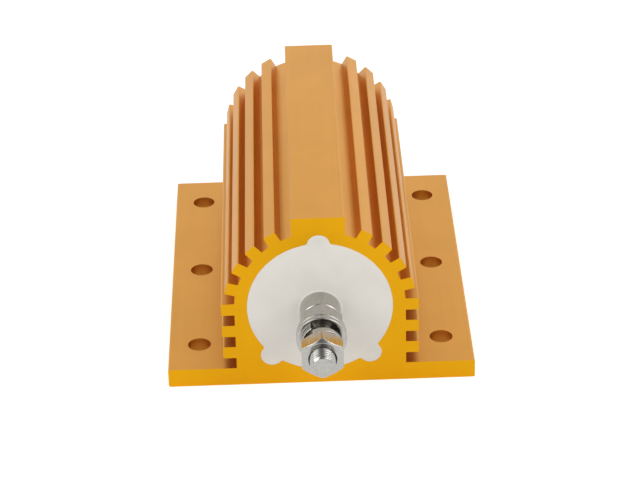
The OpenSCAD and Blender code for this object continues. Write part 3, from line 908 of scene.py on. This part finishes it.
def bore_rim(count):
    """The filling's outline across the bore, from the CAD mesh: points spread evenly along it."""
    housing = NODES["housing"].data.vertices
    bore = min(math.hypot(v.co.x, v.co.z - AXIS_HEIGHT) for v in housing)
    found = {}
    for vertex in NODES["filling_compound"].data.vertices:
        x, z = vertex.co.x, vertex.co.z - AXIS_HEIGHT
        if abs(vertex.co.y + END_FACE) < 0.001 * MM and math.hypot(x, z) > bore - 0.01 * MM:
            found[(round(x, 7), round(z, 7))] = math.atan2(z, x)
    corners = [Vector(place) for place in sorted(found, key=found.get)]
    sides = [(corners[i], corners[(i + 1) % len(corners)]) for i in range(len(corners))]
    lengths = [(b - a).length for a, b in sides]
    points, passed, side = [], 0, 0
    for i in range(count):
        goal = sum(lengths) * i / count
        while passed + lengths[side] < goal:
            passed += lengths[side]
            side += 1
        points.append(sides[side][0].lerp(sides[side][1], (goal - passed) / lengths[side]))
    return points


def make_filling():
    """The cement: a wall along the bore, two poured faces with soft rims, and the hollow inside."""
    sizes = bpy.context.scene.resistor_sizes
    count = 360
    rim = bore_rim(count)
    inward = []
    for i in range(count):
        along = (rim[(i + 1) % count] - rim[i - 1]).normalized()
        inward.append(Vector((-along.y, along.x)))
    shoulder, thread = radius_of("front_terminal_stud"), sizes.thread_diameter / 2
    root = span("front_end_cap")[1]
    hollow = 0
    for vertex in NODES["filling_compound"].data.vertices:
        away = math.hypot(vertex.co.x, vertex.co.z - AXIS_HEIGHT)
        if abs(vertex.co.y) < END_FACE - 0.001 * MM:
            hollow = max(hollow, away)
    rise, edge = sizes.filling_rise, sizes.filling_rounding
    # The faces swell up towards the shoulders, as a cap of a large ball
    swell = -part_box("filling_compound")[0].y - END_FACE
    reach = min(p.length for p in rim) - edge

    def swollen(away):
        return rise + swell * max(0, 1 - (away / reach) ** 2)

    # Each ring: its points across the bore, their height above the end face, and how loosely they lie
    rings = []
    for step in range(7):
        turn = math.pi / 2 * step / 6
        inset, height = edge * (1 - math.cos(turn)), rise - edge + edge * math.sin(turn)
        rings.append(([rim[i] + inward[i] * inset for i in range(count)], [height] * count, 0))
    edge_ring = rings[-1][0]
    foot = shoulder + 3 * sizes.filling_meniscus
    for step in range(1, 31):
        ring = [p.lerp(p.normalized() * foot, step / 30) for p in edge_ring]
        rings.append((ring, [swollen(p.length) for p in ring], min(1, step / 3)))
    for step in range(1, 6):
        share = step / 5
        radius = foot + (shoulder - foot) * share
        climb = swollen(radius) + sizes.filling_meniscus * share**2
        rings.append(([p.normalized() * radius for p in rim], [climb] * count, 1 - share))
    for radius, height in ((shoulder, 0), (thread, 0), (thread, root), (hollow, root)):
        rings.append(([p.normalized() * radius for p in rim], [height] * count, 0))
    points = []
    for side in (-1, 1):
        for ring, heights, loose in rings if side < 0 else reversed(rings):
            for p, level in zip(ring, heights):
                if loose:
                    spot = Vector((p.x, side * 0.05, p.y)) / (8 * MM)
                    level += loose * sizes.filling_unevenness * noise.noise(spot)
                points.append((p.x, side * (END_FACE + level), p.y))
    total = 2 * len(rings)
    faces = []
    for r in range(total):
        ring, following = r * count, (r + 1) % total * count
        for i in range(count):
            after = (i + 1) % count
            faces.append((ring + i, ring + after, following + after, following + i))
    mesh = bpy.data.meshes.new("filling")
    mesh.from_pydata(points, [], faces)
    placed(
        "filling_poured", mesh, Matrix.Translation((0, 0, AXIS_HEIGHT)), "white_cement", "filling_compound", sharp=60
    )


# ---- Operators ----


class RESISTOR_OT_housing(bpy.types.Operator):
    """Dress the housing"""

    bl_idname = "resistor.housing"
    bl_label = "Housing"

    def execute(self, context):
        dress("housing", "gold_anodised_aluminium")
        return {"FINISHED"}


class RESISTOR_OT_filling(bpy.types.Operator):
    """Pour the cement filling"""

    bl_idname = "resistor.filling"
    bl_label = "Filling"

    def execute(self, context):
        make_filling()
        return {"FINISHED"}


class RESISTOR_OT_element(bpy.types.Operator):
    """Wind the resistance wire, and dress the ceramic core and its end caps"""

    bl_idname = "resistor.element"
    bl_label = "Resistance element"

    def execute(self, context):
        dress("ceramic_core", "steatite")
        for end in ENDS:
            dress(f"{end}_end_cap", "plain_steel")
        make_winding()
        return {"FINISHED"}


class RESISTOR_OT_terminals(bpy.types.Operator):
    """Make the studs, nuts and washers"""

    bl_idname = "resistor.terminals"
    bl_label = "Terminals"

    def execute(self, context):
        make_studs()
        make_nuts()
        make_flat_washers()
        make_spring_washers()
        return {"FINISHED"}


class RESISTOR_OT_studio(bpy.types.Operator):
    """Set the floor, the soft light and the camera"""

    bl_idname = "resistor.studio"
    bl_label = "Studio"

    def execute(self, context):
        scene, studio = context.scene, context.scene.resistor_studio
        # Floor: white where the light reaches it, with the part's soft shadow
        mesh = bpy.data.meshes.new("floor")
        reach = studio.floor_reach
        corners = [(-reach, -reach, 0), (reach, -reach, 0), (reach, reach, 0), (-reach, reach, 0)]
        mesh.from_pydata(corners, [], [(0, 1, 2, 3)])
        mesh.transform(Matrix.Translation((0, 0, HOUSING_LOW.z - 0.05 * MM)))
        floor = bpy.data.objects.new("floor", mesh)
        scene.collection.objects.link(floor)
        paper = bpy.data.materials.new("white_paper_matt")
        paper.use_nodes = True
        tree = paper.node_tree
        tree.nodes.clear()
        path = add(tree, "ShaderNodeLightPath").outputs
        mirrored = add(
            tree, "ShaderNodeMath", {0: path["Is Glossy Ray"], 1: path["Is Transmission Ray"]}, operation="MAXIMUM"
        ).outputs[0]
        lift = add(tree, "ShaderNodeMath", {0: mirrored, 1: 0.25}, operation="MULTIPLY").outputs[0]
        lift = add(
            tree, "ShaderNodeMath", {0: path["Is Camera Ray"], 1: 0.5, 2: lift}, operation="MULTIPLY_ADD"
        ).outputs[0]
        matt = add(tree, "ShaderNodeBsdfDiffuse", {"Color": (0.9, 0.9, 0.9, 1)}).outputs[0]
        glow = add(tree, "ShaderNodeEmission", {"Color": (1, 1, 1, 1), "Strength": lift}).outputs[0]
        lit = add(tree, "ShaderNodeAddShader", {0: matt, 1: glow}).outputs[0]
        add(tree, "ShaderNodeOutputMaterial", {0: lit})
        mesh.materials.append(paper)
        # Dome: even light, seen as white, with a darker gap overhead between the two soft boxes
        world = bpy.data.worlds.new("soft_dome")
        world.use_nodes = True
        tree = world.node_tree
        tree.nodes.clear()
        path = add(tree, "ShaderNodeLightPath").outputs
        plain = add(tree, "ShaderNodeBackground", {0: (1, 1, 1, 1), 1: studio.dome}).outputs[0]
        white = add(tree, "ShaderNodeBackground", {0: (1, 1, 1, 1), 1: 1.0}).outputs[0]
        towards = add(tree, "ShaderNodeTexCoord").outputs["Generated"]
        parts = add(tree, "ShaderNodeSeparateXYZ", {0: towards}).outputs
        sideways = add(tree, "ShaderNodeMath", {0: parts["X"]}, operation="ABSOLUTE").outputs[0]
        aside, low, behind = [
            add(
                tree,
                "ShaderNodeMapRange",
                {0: direction, 1: start, 2: end, 3: first, 4: last},
                interpolation_type="SMOOTHSTEP",
            ).outputs[0]
            for direction, start, end, first, last in (
                (sideways, 0.12, 0.42, 0, 1),
                (parts["Z"], 0.12, 0.4, 1, 0),
                (parts["Y"], 0.45, 0.75, 0, 1),
            )
        ]
        bright = add(tree, "ShaderNodeMath", {0: aside, 1: low}, operation="MAXIMUM").outputs[0]
        bright = add(tree, "ShaderNodeMath", {0: bright, 1: behind}, operation="MAXIMUM").outputs[0]
        level = add(tree, "ShaderNodeMapRange", {0: bright, 3: 0.22, 4: 1.0}).outputs[0]
        # The wall behind is a little brighter low down and on the right, and dimmer far to both sides
        fall = add(tree, "ShaderNodeMapRange", {0: parts["Z"], 1: 0.25, 2: 0.7, 3: 1.2, 4: 0.85}).outputs[0]
        level = add(tree, "ShaderNodeMath", {0: level, 1: fall}, operation="MULTIPLY").outputs[0]
        side = add(tree, "ShaderNodeMapRange", {0: parts["X"], 1: -0.1, 2: 0.1, 3: 0.97, 4: 1.05}).outputs[0]
        level = add(tree, "ShaderNodeMath", {0: level, 1: side}, operation="MULTIPLY").outputs[0]
        far_aside = add(tree, "ShaderNodeMapRange", {0: sideways, 1: 0.2, 2: 0.5, 3: 1, 4: 0.82}).outputs[0]
        level = add(tree, "ShaderNodeMath", {0: level, 1: far_aside}, operation="MULTIPLY").outputs[0]
        mirrored = add(tree, "ShaderNodeBackground", {0: (1, 1, 1, 1), 1: level}).outputs[0]
        first = add(tree, "ShaderNodeMixShader", {0: path["Is Glossy Ray"], 1: plain, 2: mirrored}).outputs[0]
        through = add(
            tree, "ShaderNodeMath", {0: path["Is Camera Ray"], 1: path["Is Transmission Ray"]}, operation="MAXIMUM"
        ).outputs[0]
        second = add(tree, "ShaderNodeMixShader", {0: through, 1: first, 2: white}).outputs[0]
        add(tree, "ShaderNodeOutputWorld", {0: second})
        scene.world = world
        # Two soft boxes, to the left and to the right of the camera
        for name, side in (("soft_box_left", -1), ("soft_box_right", 1)):
            lamp = bpy.data.lights.new(name, "AREA")
            lamp.shape, lamp.size, lamp.energy = "SQUARE", studio.box_size, studio.lamps
            holder = bpy.data.objects.new(name, lamp)
            position = Vector(studio.box_place) * Vector((side, 1, 1))
            holder.matrix_world = Matrix.Translation(position) @ (
                position.to_track_quat("Z", "Y").to_matrix().to_4x4()
            )
            scene.collection.objects.link(holder)
        # Camera
        turn = (
            Matrix.Rotation(studio.azimuth, 4, "Z")
            @ Matrix.Rotation(math.pi / 2 - studio.elevation, 4, "X")
            @ Matrix.Rotation(studio.roll, 4, "Z")
        )
        lens = bpy.data.cameras.new("camera")
        lens.sensor_fit, lens.sensor_width, lens.lens = "HORIZONTAL", 36, studio.lens
        lens.clip_start, lens.clip_end = 0.01, 50
        camera = bpy.data.objects.new("camera", lens)
        back = turn.to_3x3() @ Vector((0, 0, 1))
        camera.matrix_world = Matrix.Translation(Vector(studio.target) + back * studio.distance) @ turn
        scene.collection.objects.link(camera)
        scene.camera = camera
        scene.view_settings.view_transform = "Standard"
        return {"FINISHED"}


class VIEW3D_PT_resistor(bpy.types.Panel):
    """Lists the pieces of the resistor"""

    bl_label = "Power resistor"
    bl_idname = "VIEW3D_PT_resistor"
    bl_space_type = "VIEW_3D"
    bl_region_type = "UI"
    bl_category = "Resistor"

    def draw(self, context):
        for operator in OPERATORS:
            self.layout.operator(operator.bl_idname)


OPERATORS = (
    RESISTOR_OT_housing,
    RESISTOR_OT_filling,
    RESISTOR_OT_element,
    RESISTOR_OT_terminals,
    RESISTOR_OT_studio,
)
SETTINGS = {
    "resistor_sizes": ResistorSizes,
    "resistor_finishes": ResistorFinishes,
    "resistor_studio": ResistorStudio,
}


def register():
    for cls in (*SETTINGS.values(), *OPERATORS, VIEW3D_PT_resistor):
        bpy.utils.register_class(cls)
    for name, cls in SETTINGS.items():
        setattr(bpy.types.Scene, name, bpy.props.PointerProperty(type=cls))


def unregister():
    for name in SETTINGS:
        delattr(bpy.types.Scene, name)
    for cls in reversed((*SETTINGS.values(), *OPERATORS, VIEW3D_PT_resistor)):
        bpy.utils.unregister_class(cls)


def main():
    register()
    bpy.ops.resistor.housing()
    bpy.ops.resistor.filling()
    bpy.ops.resistor.element()
    bpy.ops.resistor.terminals()
    bpy.ops.resistor.studio()


if __name__ == "__main__":
    main()
